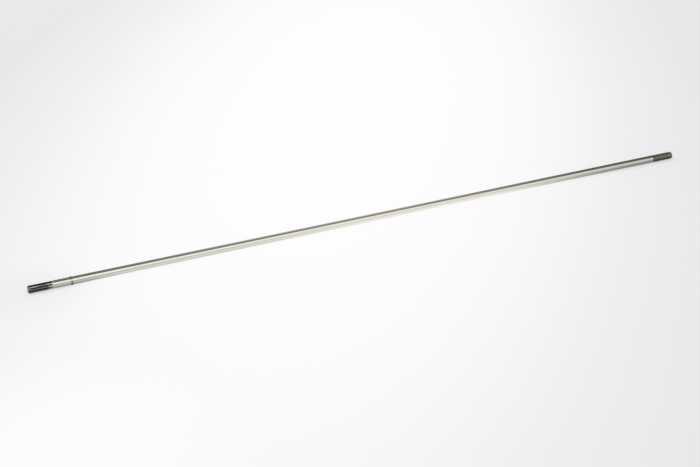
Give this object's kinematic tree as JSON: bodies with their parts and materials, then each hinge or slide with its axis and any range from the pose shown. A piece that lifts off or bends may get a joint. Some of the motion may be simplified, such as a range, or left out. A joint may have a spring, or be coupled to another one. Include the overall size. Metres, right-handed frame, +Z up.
{
  "type": "stepped drive shaft",
  "caption": "Slim straight steel drive shaft with a splined end, a crimped stop near it and a threaded end.",
  "frame": {"origin": "on the shaft's axis at mid-length", "axes": "+X along the axis towards the threaded end, the splined end points along -X, +Z up as the shaft lies at rest on its round and on the lower ear of the stop"},
  "size_m": [0.77, 0.008, 0.008],
  "materials": {
    "ground_steel": "ground and lightly oiled bar, with darker spline grooves, crimped stop and thread"
  },
  "bodies": {
    "root": {"drive_shaft": "ground_steel"}
  },
  "joints": []
}
